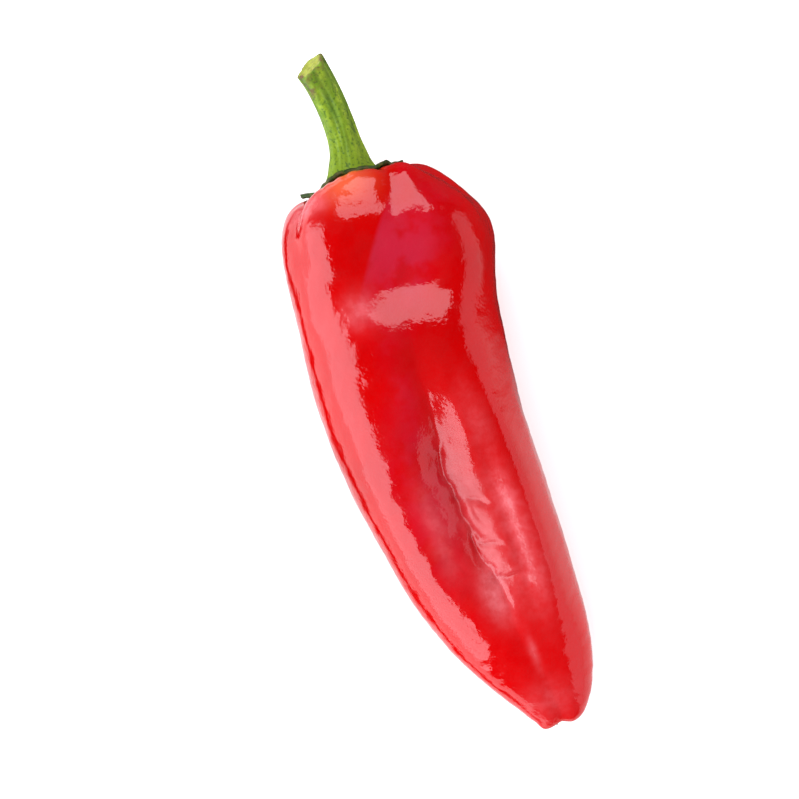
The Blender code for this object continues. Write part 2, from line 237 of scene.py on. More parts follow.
# The finer relief of the skin, on top of the above: first the crease in the front furrow.
CREASE_DEPTH = 0.65
CREASE_HALF_WIDTH = 0.85
CREASE_WANDER = 0.7
CREASE_WANDER_LENGTH = 7.0

# Short creases across the right bank and small lumps about its foot, given as the upper
# relief is, and how far they slant across it.
BANK_MARKS = (
    (33.8, 0.5, 0.7, 3.4, -0.9),
    (46.0, 1.0, 0.7, 3.0, -0.8),
    (42.0, -2.6, 0.7, 1.6, -0.6),
    (57.5, 3.0, 0.8, 2.6, -0.6),
    (36.5, -2.6, 1.8, 1.2, 0.5),
    (40.8, -4.6, 1.3, 1.0, 0.35),
    (44.8, -4.4, 1.6, 1.2, 0.35),
    (48.2, -1.4, 1.8, 1.3, 0.35),
    (52.5, -1.8, 1.5, 1.1, 0.25),
)
BANK_MARK_SLANT = 0.25

# The folds of the crumpled skin beside the crease.
FOLD_DEPTH = 0.16
FOLD_SHARPNESS = 0.28  # the share of a fold's width that its sharp bottom takes
FOLD_LENGTH = 7.0
FOLD_REACH = 7.0
FOLD_HALF_LENGTH = 19.0  # of the crease too
FOLD_SEED = 21

PUCKERS = 23  # round the calyx
PUCKER_HEIGHT = 0.12
PUCKER_MIDDLE = 14.0  # distance along the skin
PUCKER_HALF_LENGTH = 4.5

# Ripples of the whole skin: height, length and seed.
RIPPLES = (
    (0.030, 5.0, 31),
    (0.008, 2.4, 32),
)

# Patches beside the front furrow, given as its lumps are, each with its strength: the crumpled
# skin's pale colour, partly scuffing and partly a painted highlight, and a painted sheen.
CRUMPLE_SCUFF_AND_HIGHLIGHT = (-5.0, 4.5, CRUMPLE_MIDDLE, 18.0, 1.0)
LEFT_BANK_PAINTED_SHEEN = (7.0, 5.0, 112.0, 16.0, 0.6)

# Gold round the calyx, where it is partly a painted highlight along the crest, and gold on the
# front lobe, which is given as the shoulder lobes are.
GOLD_AND_HIGHLIGHT_RING_AT = 13.4  # distance along the skin
GOLD_AND_HIGHLIGHT_RING_HALF_WIDTH = 1.3
GOLD_AND_HIGHLIGHT_RING_STRENGTH = 0.2
GOLD_LOBE = (19.0, 98.0, 4.0, 5.0, 0.55)

# A painted sheen to the right of the fold line, and one above the furrow given as the painted
# highlight patches are.
PAINTED_SHEEN_EDGE = 1.2  # the width over which it sets in at the fold line
PAINTED_SHEEN_BREADTH = 12.0  # where it starts to fade
PAINTED_SHEEN_FADE = 5.0
PAINTED_SHEEN_HALF_LENGTH = 11.0
UPPER_PAINTED_SHEEN = (-2.0, -8.2, 13.0, 2.4, 0.3)

PIT_HALF_WIDTH = 1.9  # of the dry brown about the pit
PIT_DRYNESS = 1.3
PAINTED_LIGHT_FROM = 25.0  # where the painted light starts: the skin is painted lighter towards the tip
PAINTED_LIGHT_LENGTH = 55.0

# Painted highlights of the upper side, as pale patches: middle x, y, half-length in x,
# half-breadth in y and strength.
PAINTED_HIGHLIGHT_PATCHES = (
    (59.5, -3.6, 5.0, 2.5, 1.0),
    (36.0, 8.3, 7.0, 2.1, 0.6),
    (54.0, 8.8, 8.5, 2.4, 0.45),
    (11.0, 7.8, 7.0, 2.0, 0.25),
    (79.5, 1.1, 3.0, 0.8, 0.6),
    (37.0, -13.0, 9.0, 1.9, 0.4),
    (94.5, 1.0, 4.5, 5.0, 0.3),
    (-59.6, -16.0, 1.8, 4.6, 0.85),
    (-28.0, -12.5, 3.2, 3.0, 0.55),
)

# The finer relief of the stalk.
STALK_RADIUS = 4.4  # its usual radius
STALK_LENGTH = 34.0
RIDGES = 17
RIDGE_HEIGHT = 0.07
RIDGE_WANDER = 2.0  # radians
RIDGE_WANDER_LENGTH = 12.0
BARK_HEIGHT = 0.07
BARK_LENGTH = 2.4
BARK_STRETCH = 3.5  # how much longer the bark's marks are than broad
BARK_SEED = 41
CUT_ROUNDING = 0.45
CUT_FLAT = 0.72  # the share of the cut's radius inside its rounded rim
PITH_HOLLOW = 0.35
PITH_HEIGHT = 0.12
PITH_LENGTH = 2.2

# The stalk's paler streaks: how far they follow the ribs, their least strength, and how
# uneven they are.
STREAK_ON_RIBS = 0.6
STREAK_LEAST = 0.25
STREAK_UNEVENNESS = 0.35
STREAK_LENGTH = 3.0

BASE_HALF_LENGTH = 0.22  # the yellower stretch by the calyx, as a share of the stalk's length
CALYX_EDGE = 0.06  # the share of the rows over which the calyx's green gives way
CUT_EDGE_AT = 0.1  # how far in the cut's pale face starts, as a share of its radius
CUT_EDGE = 0.12  # and over how much more it sets in

# Dry brown, on a patch of the stalk's side, its end, the calyx's rim and the cut. Lengths are
# shares of the stalk's length or of the rows.
BROWN_PATCH = 0.9
BROWN_PATCH_AT = 0.86
BROWN_PATCH_HALF_LENGTH = 0.07
BROWN_PATCH_TURN = 160.0
BROWN_PATCH_HALF_TURN = 0.7  # radians
DRY_END = 0.45
DRY_END_LENGTH = 0.03
DRY_RIM = 0.5
DRY_RIM_HALF_WIDTH = 0.008
DRY_CUT_EDGE = 0.5
DRY_PITH = 0.15

# The flower scar in the pit.
SCAR_RADIUS = 1.5
SCAR_LENGTH = 1.7
SCAR_TAPER = 0.45  # the share of its radius lost towards its free end
SCAR_SUNK = 0.4  # the share of its length that starts inside the pit
SCAR_LUMPS = (0.075, 0.15, 0.15)  # their height in x, y and z
SCAR_LUMP_LENGTH = 1.8
SCAR_SEED = 51
SCAR_COLUMNS = 24
SCAR_ROWS = 16

# How strongly the materials' mottles show: the furrow's pale colour, partly scuffing and partly
# a painted highlight, the stalk's flecks, the painted highlights on the calyx's folds and the pith's
# veins.
FURROW_SCUFF_AND_HIGHLIGHT = 0.35
STALK_FLECKS = 0.7
CALYX_LIT_FOLDS = 0.55
PITH_VEINS = 0.6
STALK_GRAIN_DEPTH = 0.00012
SCAR_GRAIN_DEPTH = 0.00006

# Shares of the stalk piece's rows that go to the calyx's underside, its top, the stalk's
# side and the cut face, in that order.
STALK_ROW_SHARES = (0.14, 0.16, 0.56, 0.14)


def smooth_curve(knots, values):
    """A natural cubic spline through the rows of values, as a function of the knot scale."""
    knots = np.asarray(knots, float)
    values = np.asarray(values, float)
    steps = np.diff(knots)
    count = len(knots)
    system = np.eye(count)
    target = np.zeros_like(values)
    for i in range(1, count - 1):
        system[i, i - 1 : i + 2] = steps[i - 1], 2 * (steps[i - 1] + steps[i]), steps[i]
        rise = (values[i + 1] - values[i]) / steps[i]
        last_rise = (values[i] - values[i - 1]) / steps[i - 1]
        target[i] = 6 * (rise - last_rise)
    bend = np.linalg.solve(system, target)

    def at(where):
        where = np.clip(where, knots[0], knots[-1])
        i = np.clip(np.searchsorted(knots, where) - 1, 0, count - 2)
        step = steps[i][..., None]
        b = (where - knots[i])[..., None] / step
        a = 1 - b
        curved = ((a**3 - a) * bend[i] + (b**3 - b) * bend[i + 1]) * step**2 / 6
        return a * values[i] + b * values[i + 1] + curved

    return at


def ring_distances():
    """The distance along the skin from the calyx's middle to each ring."""
    rings = np.array(RINGS)
    reach = (rings[:, 2] - rings[:, 1] + rings[:, 4] - rings[:, 3]) / 4
    return np.r_[0, np.cumsum(np.hypot(np.diff(rings[:, 0]), np.diff(reach)))]


RING_AT = ring_distances()
SKIN_LENGTH = RING_AT[-1]
ring_curve = smooth_curve(RING_AT, RINGS)


def angle_between(angle, middle):
    """The signed turn from middle to angle, in radians, between -pi and pi."""
    return (angle - middle + math.pi) % (2 * math.pi) - math.pi


def bell(distance, half_width):
    return np.exp(-0.5 * (distance / half_width) ** 2)


def waves(points, wavelength, seed, count=9):
    """A smooth uneven field about 1 high, from waves that cross in seeded directions."""
    draw = np.random.default_rng(seed)
    total = np.zeros(points.shape[:-1])
    for _ in range(count):
        heading = draw.normal(size=3)
        heading /= np.linalg.norm(heading)
        length = wavelength * draw.uniform(*WAVELENGTH_SPREAD)
        total += np.sin(points @ heading * 2 * math.pi / length + draw.uniform(0, 2 * math.pi))
    return total / math.sqrt(count / 2)


def patch(points, x, y, half_length, half_breadth, height):
    """A soft patch of some height or strength about a place as seen from above."""
    return bell(points[..., 0] - x, half_length) * bell(points[..., 1] - y, half_breadth) * height


def skin_patch(along, angle, reach, middle, turn, half_length, half_breadth, height):
    """A soft patch about a distance along the skin and an angle round it."""
    side = reach * angle_between(angle, math.radians(turn))
    return bell(along - middle, half_length) * bell(side, half_breadth) * height


def furrow_patch(along, front_side, to_left, half_breadth, middle, half_length, height):
    """A soft patch beside the front furrow."""
    return bell(front_side - to_left, half_breadth) * bell(along - middle, half_length) * height


def plain_skin(along, angle):
    """Points on the fruit without its furrows, and their distance from the ring's middle."""
    x, left, right, bottom, top, left_fullness, right_fullness = np.moveaxis(
        ring_curve(along), -1, 0
    )
    half_width = np.maximum((right - left) / 2, 1e-6)
    half_height = np.maximum((top - bottom) / 2, 1e-6)
    fullness = np.where(np.cos(angle) > 0, right_fullness, left_fullness)
    across = np.abs(np.cos(angle) / half_width) ** fullness
    upward = np.abs(np.sin(angle) / half_height) ** fullness
    reach = (across + upward) ** (-1 / fullness)
    y = (left + right) / 2 + reach * np.cos(angle)
    z = (bottom + top) / 2 + reach * np.sin(angle)
    return np.stack([x, y, z], axis=-1), reach


def outward(surface, along, angle, step=0.05):
    """Unit normals of a surface given as a function of along and angle."""
    lengthwise = surface(along + step, angle) - surface(along - step, angle)
    turn = step / 10
    round_it = surface(along, angle + turn) - surface(along, angle - turn)
    normal = np.cross(round_it, lengthwise)
    return normal / np.maximum(np.linalg.norm(normal, axis=-1, keepdims=True), 1e-12)


def right_bank(distance):
    """A straight slope that falls from 1 at 0 to nothing at 1, and levels out smoothly."""
    left_over = 1 - distance
    return (np.sqrt(left_over**2 + RIGHT_BANK_ROUNDING**2) + left_over) / 2


def furrow_relief(points, along, angle, reach):
    """How far the furrows sink the skin, and the distance to the side of the front one."""
    sunk = np.zeros(along.shape)
    for name, path in FURROWS.items():
        table = np.array(path)
        line, depth, breadth = np.moveaxis(smooth_curve(table[:, 0], table[:, 1:])(along), -1, 0)
        side = reach * angle_between(angle, np.radians(line))
        side = side + FURROW_WANDER * waves(points, FURROW_WANDER_LENGTH, CRUMPLE_SEED + 1)
        profile = bell(side, breadth)
        if name == "front":
            front_side = side
            bank = right_bank(-side / (RIGHT_BANK * breadth))
            profile = np.where(side < 0, np.minimum(bank, 1), profile)
        sunk -= np.maximum(depth, 0) * profile * (along <= table[-1, 0] + 1)
    return sunk, front_side


def fold_line_distances(points):
    """How far points lie to the right of the fold line, and from its middle lengthwise."""
    start, end = np.array(FOLD_LINE)
    heading = (end - start) / np.linalg.norm(end - start)
    x = points[..., 0] - (start[0] + end[0]) / 2
    y = points[..., 1] - (start[1] + end[1]) / 2
    return y * heading[0] - x * heading[1], x * heading[0] + y * heading[1]


def fold_line_relief(points):
    """The skin's turn down along the right of the fold line."""
    right, lengthwise = fold_line_distances(points)
    past = np.maximum(right, 0) / FOLD_LINE_WIDTH
    return -FOLD_LINE_DEPTH * past * np.exp(1 - past) * bell(lengthwise, FOLD_LINE_REACH)


def skin_relief(points, normals, along, angle, reach):
    """The height of the lobes, furrows, dents and swellings over the plain skin."""
    height, front_side = furrow_relief(points, along, angle, reach)
    uneven = waves(points, CRUMPLE_LENGTH, CRUMPLE_SEED)
    height += furrow_patch(along, front_side, *CRUMPLE) * uneven
    for rise, length, seed in UNEVENNESS:
        height += rise * waves(points, length, seed)
    for lobe in SHOULDER_LOBES:
        height += skin_patch(along, angle, reach, *lobe)
    facing_up = np.clip(normals[..., 2] / UPWARD_ENOUGH, 0, 1)
    for swelling in UPPER_RELIEF:
        height += patch(points, *swelling) * facing_up
    height += fold_line_relief(points) * facing_up
    for from_tip, turn, half_width, rise in TIP_SWELLINGS:
        swelling = SKIN_LENGTH - from_tip, turn, half_width, half_width, rise
        height += skin_patch(along, angle, reach, *swelling)
    return height + fine_relief(points, along, angle, front_side)


def fine_relief(points, along, angle, front_side):
    """The crease and folds in the furrow, the puckers round the calyx and a slight ripple."""
    wander = CREASE_WANDER * waves(points, CREASE_WANDER_LENGTH, FOLD_SEED)
    deep = bell(along - CRUMPLE_MIDDLE, FOLD_HALF_LENGTH)
    height = -CREASE_DEPTH * deep * bell(front_side + wander, CREASE_HALF_WIDTH)
    folded = deep * bell(front_side, FOLD_REACH)
    height -= FOLD_DEPTH * folded * bell(waves(points, FOLD_LENGTH, FOLD_SEED + 1), FOLD_SHARPNESS)
    upper = np.sin(angle) > 0
    for x, y, half_length, half_breadth, rise in BANK_MARKS:
        slanted = points[..., 0] - x - BANK_MARK_SLANT * (points[..., 1] - y) + wander
        height += rise * bell(slanted, half_length) * bell(points[..., 1] - y, half_breadth) * upper
    puckered = bell(along - PUCKER_MIDDLE, PUCKER_HALF_LENGTH)
    uneven = waves(points, FURROW_WANDER_LENGTH, FOLD_SEED + 2)
    height += PUCKER_HEIGHT * puckered * np.sin(PUCKERS * angle + uneven)
    for rise, length, seed in RIPPLES:
        height += rise * waves(points, length, seed)
    return height


def fruit_skin(along, angle):
    """The finished skin, flat where it rests on the table."""
    points, reach = plain_skin(along, angle)
    off_the_poles = np.clip(along, POLE_MARGIN, SKIN_LENGTH - POLE_MARGIN)
    normals = outward(lambda a, b: plain_skin(a, b)[0], off_the_poles, angle)
    points = points + normals * skin_relief(points, normals, along, angle, reach)[..., None]
    points[..., 2] = np.maximum(points[..., 2], TABLE_Z)
    return points


def rounded_cage(name, columns, rows, place):
    """A ball's mesh, whose rows and columns place() turns into points in millimetres."""
    cage = bmesh.new()
    bmesh.ops.create_uvsphere(cage, u_segments=columns, v_segments=rows, radius=1.0)
    ball = np.array([vertex.co for vertex in cage.verts])
    row = np.round(np.arccos(np.clip(ball[:, 2], -1, 1)) / math.pi * rows)
    turn = np.arctan2(ball[:, 1], ball[:, 0])
    for vertex, point in zip(cage.verts, place(row, turn, rows)):
        vertex.co = (point - FOOTPRINT_MIDDLE) * MM
    if cage.calc_volume(signed=True) < 0:
        bmesh.ops.reverse_faces(cage, faces=cage.faces)
    mesh = bpy.data.meshes.new(name)
    cage.to_mesh(mesh)
    cage.free()
    mesh.shade_smooth()
    piece = bpy.data.objects.new(name, mesh)
    bpy.context.scene.collection.objects.link(piece)
    return piece, row, turn


def paint(piece, masks):
    """Stores the masks' number for each point, for the piece's material to read by name."""
    for name, values in masks.items():
        field = piece.data.attributes.new(name, "FLOAT", "POINT")
        field.data.foreach_set("value", np.asarray(values, np.float32))


def fruit_place(row, turn, rows):
    """The distance along the skin and the angle of a point of the fruit's cage."""
    share = row / rows
    share = share - ENDS_FINER * np.sin(2 * math.pi * share) / (2 * math.pi)
    return share * SKIN_LENGTH, turn + UPPER_FINER * np.cos(turn)


def calyx_point(inward, lifted, turn):
    """A point of the calyx: inward runs from 0 at its middle to 1 at its toothed rim."""
    teeth = CALYX_TOOTH * np.cos(CALYX_TEETH * turn + CALYX_TOOTH_TURN)
    uneven = CALYX_UNEVENNESS * np.sin(2 * turn + CALYX_UNEVEN_TURN)
    along = inward * (CALYX_RADIUS + (teeth + uneven) * inward**CALYX_RIM_NARROWNESS)
    skin = fruit_skin(along, turn)
    normal = outward(fruit_skin, np.maximum(along, POLE_MARGIN), turn)
    curls = 0.5 + 0.5 * np.sin(CALYX_CURLS * turn)
    curl = CALYX_RIM_LIFT * curls * inward**CALYX_RIM_NARROWNESS
    return skin + normal * (CALYX_GAP + curl + lifted)[:, None]


def stalk_frames(share, step=0.1):
    """The stalk's centreline, radius and two side directions at shares of its length."""
    path = np.array(STALK_PATH)
    knots = np.r_[0, np.cumsum(np.linalg.norm(np.diff(path[:, :3], axis=0), axis=1))]
    curve = smooth_curve(knots, path)
    here = curve(share * knots[-1])
    ahead = curve(np.clip(share * knots[-1] + step, 0, knots[-1]))
    behind = curve(np.clip(share * knots[-1] - step, 0, knots[-1]))
    forward = ahead[:, :3] - behind[:, :3]
    forward /= np.linalg.norm(forward, axis=1, keepdims=True)
    upward = np.array([0.0, 0.0, 1.0]) - forward * forward[:, 2:]
    upward /= np.linalg.norm(upward, axis=1, keepdims=True)
    return here[:, :3], here[:, 3], forward, upward, np.cross(upward, -forward)


def bark(share, turn, radius):
    """The stalk's surface unrolled, so that its marks run lengthwise with no seam."""
    length = share * STALK_LENGTH / BARK_STRETCH
    return np.stack([radius * np.cos(turn), radius * np.sin(turn), length], axis=-1)


def stalk_point(share, turn, inset=1.0, hollow=0.0):
    """A point of the stalk's ribbed side, or of its cut face where inset is below 1."""
    middle, radius, forward, upward, sideways = stalk_frames(share)
    ribs = STALK_RIB_HEIGHT * np.cos(STALK_RIBS * turn + STALK_RIB_TWIST * share)
    unrolled = bark(share, turn, radius)
    wander = RIDGE_WANDER * waves(unrolled, RIDGE_WANDER_LENGTH, BARK_SEED)
    ridges = RIDGE_HEIGHT * np.cos(RIDGES * turn + wander)
    rough = BARK_HEIGHT * waves(unrolled, BARK_LENGTH, BARK_SEED + 1)
    reach = (radius + ribs + ridges + rough) * inset
    around = sideways * np.cos(turn)[:, None] + upward * np.sin(turn)[:, None]
    leaning = reach * (around @ STALK_CUT_FACING) / (forward @ STALK_CUT_FACING)
    leaning *= np.clip((share - STALK_CUT_FROM) / (1 - STALK_CUT_FROM), 0, 1)
    return middle + around * reach[:, None] - forward * (leaning + hollow)[:, None]


def stalk_rows(rows):
    """The last row of each stretch: calyx underside, calyx top, stalk side and cut face."""
    return np.round(np.cumsum(STALK_ROW_SHARES) * rows)


def stalk_and_calyx_point(row, turn, rows):
    """Rows run from the calyx's underside, round its rim and up the stalk to the cut."""
    rim, top_of_calyx, end_of_side, _ = stalk_rows(rows)
    points = np.zeros((len(row), 3))
    under = row <= rim
    points[under] = calyx_point(row[under] / rim, np.zeros(under.sum()), turn[under])
    above = (row > rim) & (row <= top_of_calyx)
    inward = 1 - (row[above] - rim - 1) / (top_of_calyx - rim) * (1 - CALYX_TOP_INNER)
    from_rim = (1 - inward) / (1 - CALYX_TOP_INNER)
    thick = CALYX_RIM_THICKNESS + (CALYX_THICKNESS - CALYX_RIM_THICKNESS) * from_rim
    points[above] = calyx_point(inward, thick, turn[above])
    side = (row > top_of_calyx) & (row <= end_of_side)
    share = (row[side] - top_of_calyx - 1) / (end_of_side - top_of_calyx - 1)
    points[side] = stalk_point(share, turn[side])
    face = row > end_of_side
    inset = 1 - (row[face] - end_of_side) / (rows - end_of_side)
    across = bark(0 * inset, turn[face], STALK_RADIUS * inset)
    uneven = PITH_HEIGHT * waves(across, PITH_LENGTH, BARK_SEED + 2)
    rounding = CUT_ROUNDING * np.clip((inset - CUT_FLAT) / (1 - CUT_FLAT), 0, 1) ** 2
    hollow = PITH_HOLLOW * (1 - inset**2) + uneven * (1 - inset**4) + rounding - CUT_ROUNDING
    points[face] = stalk_point(np.ones(face.sum()), turn[face], inset, hollow)
    return points


def node(tree, kind, **settings):
    """A shader node with its settings made, and its inputs set where a key names one."""
    made = tree.nodes.new(kind)
    for key, value in settings.items():
        if key.startswith("in_"):
            made.inputs[key[3:].replace("_", " ")].default_value = value
        else:
            setattr(made, key, value)
    return made


def group_with(name, inputs, outputs):
    """A new shader node group with its input and output nodes, and its named sockets."""
    tree = bpy.data.node_groups.new(name, "ShaderNodeTree")
    number = "NodeSocketFloat"
    for title, value in inputs:
        socket = tree.interface.new_socket(name=title, in_out="INPUT", socket_type=number)
        socket.default_value = value
    for title in outputs:
        tree.interface.new_socket(name=title, in_out="OUTPUT", socket_type=number)
    return tree, tree.nodes.new("NodeGroupInput"), tree.nodes.new("NodeGroupOutput")


def mottle_group():
    """Soft blotches of a given size, as a mask from 0 to 1."""
    tree, given, result = group_with(
        "Mottle", (("Scale", 60.0), ("Low", 0.4), ("High", 0.6)), ("Mask",)
    )
    wire = tree.links.new
    place = tree.nodes.new("ShaderNodeTexCoord")
    noise = node(tree, "ShaderNodeTexNoise", in_Detail=3.0, in_Roughness=0.55)
    spread = node(tree, "ShaderNodeMapRange", interpolation_type="SMOOTHSTEP")
    wire(place.outputs["Object"], noise.inputs["Vector"])
    wire(given.outputs["Scale"], noise.inputs["Scale"])
    wire(noise.outputs["Fac"], spread.inputs["Value"])
    wire(given.outputs["Low"], spread.inputs["From Min"])
    wire(given.outputs["High"], spread.inputs["From Max"])
    wire(spread.outputs["Result"], result.inputs["Mask"])
    return tree


def grain_group():
    """Fine dimples of a given size, as a height."""
    tree, given, result = group_with(
        "Grain", (("Scale", 900.0), ("Share of Cells", 0.4)), ("Height",)
    )
    wire = tree.links.new
    place = tree.nodes.new("ShaderNodeTexCoord")
    noise = node(tree, "ShaderNodeTexNoise", in_Detail=2.0)
    cells = node(tree, "ShaderNodeTexVoronoi", feature="SMOOTH_F1", in_Smoothness=0.6)
    blend = tree.nodes.new("ShaderNodeMix")
    for texture in (noise, cells):
        wire(place.outputs["Object"], texture.inputs["Vector"])
        wire(given.outputs["Scale"], texture.inputs["Scale"])
    wire(given.outputs["Share of Cells"], blend.inputs["Factor"])
    wire(noise.outputs["Fac"], blend.inputs["A"])
    wire(cells.outputs["Distance"], blend.inputs["B"])
    wire(blend.outputs["Result"], result.inputs["Height"])
    return tree


class Finish:
    """One material's node tree: a Principled BSDF, and short calls that feed it."""

    def __init__(self, name, colour):
        self.material = bpy.data.materials.new(name)
        self.material.use_nodes = True
        self.tree = self.material.node_tree
        self.shader = self.tree.nodes["Principled BSDF"]
        self.shader.inputs["Base Color"].default_value = (*colour, 1.0)

    def set(self, **values):
        for key, value in values.items():
            self.shader.inputs[key.replace("_", " ")].default_value = value

    def link(self, output, socket):
        self.tree.links.new(output, self.shader.inputs[socket])

    def painted(self, name):
        """The mask that paint() stored on the piece under this name."""
        return node(self.tree, "ShaderNodeAttribute", attribute_name=name).outputs["Fac"]

    def group(self, name, **settings):
        group = bpy.data.node_groups[name]
        return node(self.tree, "ShaderNodeGroup", node_tree=group, **settings).outputs[0]

    def mottle(self, scale, low=0.4, high=0.6):
        return self.group("Mottle", in_Scale=scale, in_Low=low, in_High=high)

    def grain(self, scale, cells):
        return self.group("Grain", in_Scale=scale, in_Share_of_Cells=cells)

    def times(self, first, second):
        return self.math("MULTIPLY", first, second)

    def math(self, operation, first, second):
        """A Math node on two sockets or numbers."""
        made = node(self.tree, "ShaderNodeMath", operation=operation)
        for socket, value in zip(made.inputs, (first, second)):
            if isinstance(value, (int, float)):
                socket.default_value = value
            else:
                self.tree.links.new(value, socket)
        return made.outputs["Value"]

    def ramp(self, value, low, high, from_low=0.0, from_high=1.0):
        """A number that follows value, from low to high."""
        taken = {"in_From_Min": from_low, "in_From_Max": from_high}
        made = node(self.tree, "ShaderNodeMapRange", **taken, in_To_Min=low, in_To_Max=high)
        self.tree.links.new(value, made.inputs["Value"])
        return made.outputs["Result"]

    def layer(self, mask, colour):
        """Lays a colour over the one that the surface has, as the mask goes from 0 to 1."""
        made = node(self.tree, "ShaderNodeMix", data_type="RGBA")
        self.tree.links.new(mask, made.inputs["Factor"])
        base = self.shader.inputs["Base Color"]
        if base.is_linked:
            self.tree.links.new(base.links[0].from_socket, made.inputs[6])
        else:
            made.inputs[6].default_value = base.default_value
        made.inputs[7].default_value = (*colour, 1.0)
        self.link(made.outputs[2], "Base Color")

    def bump(self, height, depth, strength=1.0):
        """Dents the surface by height times depth, in metres."""
        made = node(self.tree, "ShaderNodeBump", in_Strength=strength, in_Distance=depth)
        self.tree.links.new(height, made.inputs["Height"])
        self.link(made.outputs["Normal"], "Normal")


def colour_property(title, words, default):
    return FloatVectorProperty(
        name=title, description=words, default=default, subtype="COLOR", size=3, min=0.0, max=1.0
    )


class PepperSkinSettings(bpy.types.PropertyGroup):
    """The fruit's colours, gloss and fineness."""

    ripe_red: colour_property("Ripe Red", "The skin's main colour", (0.355, 0.0003, 0.0005))
    deep_red: colour_property("Deep Red", "The skin's darker blotches", (0.305, 0.0002, 0.0005))
    # Painted light: a lighter red for the skin towards the tip, standing in for more light on that
    # end.
    painted_light_red: colour_property("Painted Light Red", "The lighter skin towards the tip", (0.405, 0.0007, 0.0012))
    # Painted sheen: a purplish red that stands in for the soft reflection of a pale light.
    painted_sheen_red: colour_property("Painted Sheen Red", "Red under a waxy bloom", (0.345, 0.0095, 0.025))
    # Pale pink for the painted highlights, and for the crumpled furrow, where it is partly scuffing
    # and partly a painted highlight.
    highlight_and_scuff_pink: colour_property("Highlight And Scuff Pink", "Pale scuffed skin", (0.52, 0.095, 0.11))
    # Gold of the less ripe skin, made paler because it also paints a highlight along the crest round
    # the calyx.
    shoulder_gold_and_highlight: colour_property("Shoulder Gold And Highlight", "Less ripe skin", (0.60, 0.12, 0.045))
    pit_brown: colour_property("Pit Brown", "Dry skin in the pit at the tip", (0.16, 0.07, 0.02))
    roughness: FloatProperty(
        name="Roughness", description="Roughness of the waxy skin", default=0.1, min=0.0, max=1.0
    )
    dullness: FloatProperty(
        name="Dullness", description="Roughness added where dry", default=0.26,
        min=0.0, max=1.0,
    )
    pore_depth: FloatProperty(
        name="Pore Depth", description="Depth of the skin's fine dimples", default=0.00008,
        min=0.0, max=0.001, unit="LENGTH", precision=6,
    )
    columns: IntProperty(name="Columns", description="Faces round the fruit", default=288, min=24)
    rows: IntProperty(name="Rows", description="Faces along the fruit", default=330, min=24)


class PepperStalkSettings(bpy.types.PropertyGroup):
    """The colours and fineness of the stalk and the calyx."""

    green: colour_property("Green", "The stalk's main green", (0.095, 0.175, 0.004))
    rib_green: colour_property("Rib Green", "The paler green of the ribs", (0.21, 0.31, 0.012))
    groove_green: colour_property("Groove Green", "The green of grooves", (0.028, 0.075, 0.006))
    base_green: colour_property("Base Green", "Yellow-green near the calyx", (0.13, 0.205, 0.0015))
    calyx_green: colour_property("Calyx Green", "The calyx's dark green", (0.018, 0.042, 0.006))
    cut_colour: colour_property("Cut", "The pale pith of the cut face", (0.27, 0.30, 0.04))
    dry_brown: colour_property("Dry Brown", "Dried edges of cut and calyx", (0.11, 0.06, 0.02))
    columns: IntProperty(name="Columns", description="Faces round the stalk", default=144, min=24)
    rows: IntProperty(name="Rows", description="Faces along the stalk", default=160, min=24)


class PepperScarSettings(bpy.types.PropertyGroup):
    """The dry remains of the flower in the pit at the tip."""

    brown: colour_property("Brown", "The dry scar's colour", (0.11, 0.06, 0.02))
    green: colour_property("Green", "The scar's green flecks", (0.13, 0.15, 0.04))


class PepperStageSettings(bpy.types.PropertyGroup):
    """The floor, the lights and the camera."""

    floor_colour: colour_property("Floor", "The plain pale floor", (0.94, 0.94, 0.94))
    fill: FloatProperty(
        name="Fill", description="Brightness of the room's even light", default=1.15, min=0.0
    )
    panel_brightness: FloatProperty(
        name="Panels", description="Brightness of every light panel", default=1.0, min=0.0
    )
    camera_height: FloatProperty(
        name="Camera Height", description="Height of the camera over the floor", default=0.655,
        min=0.1, unit="LENGTH",
    )


def skin_finish(settings):
    finish = Finish("Waxy Skin", settings.ripe_red)
    finish.set(IOR=1.46, Metallic=0.0, Subsurface_Weight=0.0)
    finish.layer(finish.mottle(scale=38.0, low=0.35, high=0.7), settings.deep_red)
    # Painted light: a lighter red towards the tip.
    finish.layer(finish.painted("tip"), settings.painted_light_red)
    # Gold of the less ripe skin, and a painted highlight along the crest round the calyx.
    finish.layer(finish.painted("gold_and_crest_highlight"), settings.shoulder_gold_and_highlight)
    # Painted sheen: a patchy purplish red that stands in for a soft reflection.
    patchy = finish.ramp(finish.mottle(scale=105.0, low=0.38, high=0.56), low=0.3, high=1.0)
    finish.layer(finish.times(finish.painted("painted_sheen"), patchy), settings.painted_sheen_red)
    # Pale pink: the painted highlight patches, and the crumpled furrow's colour, partly scuffing and
    # partly a painted highlight.
    furrow_scuff_and_highlight = finish.times(finish.painted("crumple"), FURROW_SCUFF_AND_HIGHLIGHT)
    scuff_and_highlight = finish.math("ADD", furrow_scuff_and_highlight, finish.painted("pale"))
    speckled = finish.ramp(finish.mottle(scale=330.0, low=0.3, high=0.7), low=0.45, high=1.0)
    finish.layer(finish.times(scuff_and_highlight, speckled), settings.highlight_and_scuff_pink)
    finish.layer(finish.painted("pit"), settings.pit_brown)
    dry = finish.math("MAXIMUM", finish.painted("pale"), finish.painted("pit"))
    dull = finish.math("MAXIMUM", finish.painted("crumple"), dry)
    rough = finish.ramp(dull, settings.roughness, settings.roughness + settings.dullness)
    uneven = finish.ramp(finish.mottle(scale=150.0), low=-0.03, high=0.03)
    finish.link(finish.math("ADD", rough, uneven), "Roughness")
    finish.bump(finish.grain(scale=1100.0, cells=0.35), settings.pore_depth)
    return finish.material


